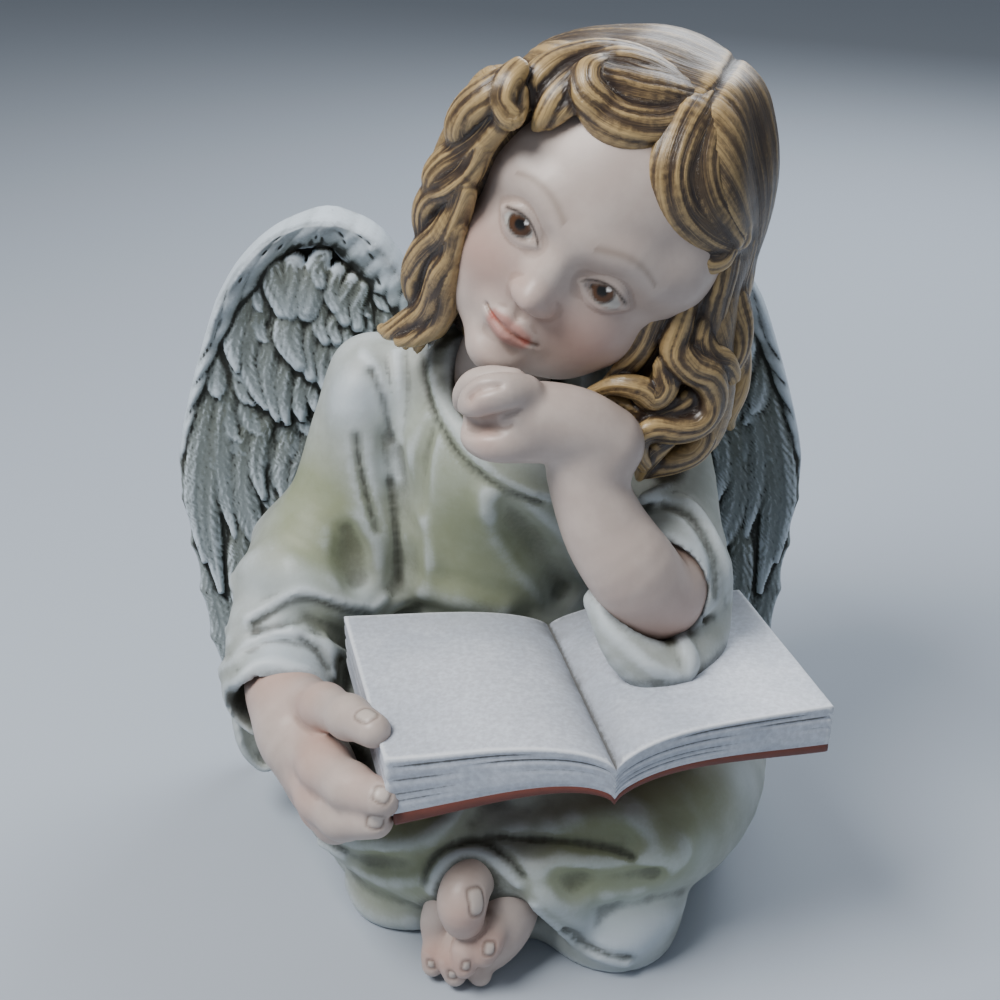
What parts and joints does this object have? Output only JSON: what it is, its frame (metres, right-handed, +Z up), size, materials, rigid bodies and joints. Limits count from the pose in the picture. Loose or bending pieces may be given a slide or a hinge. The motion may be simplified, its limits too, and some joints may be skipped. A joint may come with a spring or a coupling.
{
  "type": "cherub figurine",
  "caption": "Seated child angel reading an open book in its lap, head leaning on one fist, with two folded wings; one painted casting on a flat underside.",
  "frame": {"origin": "on the ground plane in the flat underside, under the middle of the figure", "axes": "+Z up, the figure faces -Y, +X to the figure's own left"},
  "size_m": [0.1918, 0.1582, 0.2362],
  "materials": {
    "painted_resin": "matt painted cast resin with a dark wash in the hollows",
    "skin": "satin painted cast resin",
    "hair": "satin painted cast resin, dark wash, lighter ridges",
    "wing": "matt painted cast resin, dark wash, lighter ridges",
    "page": "matt painted cast resin",
    "cover": "matt painted cast resin"
  },
  "bodies": {
    "root": {"cherub_figurine": "painted_resin"}
  },
  "joints": []
}
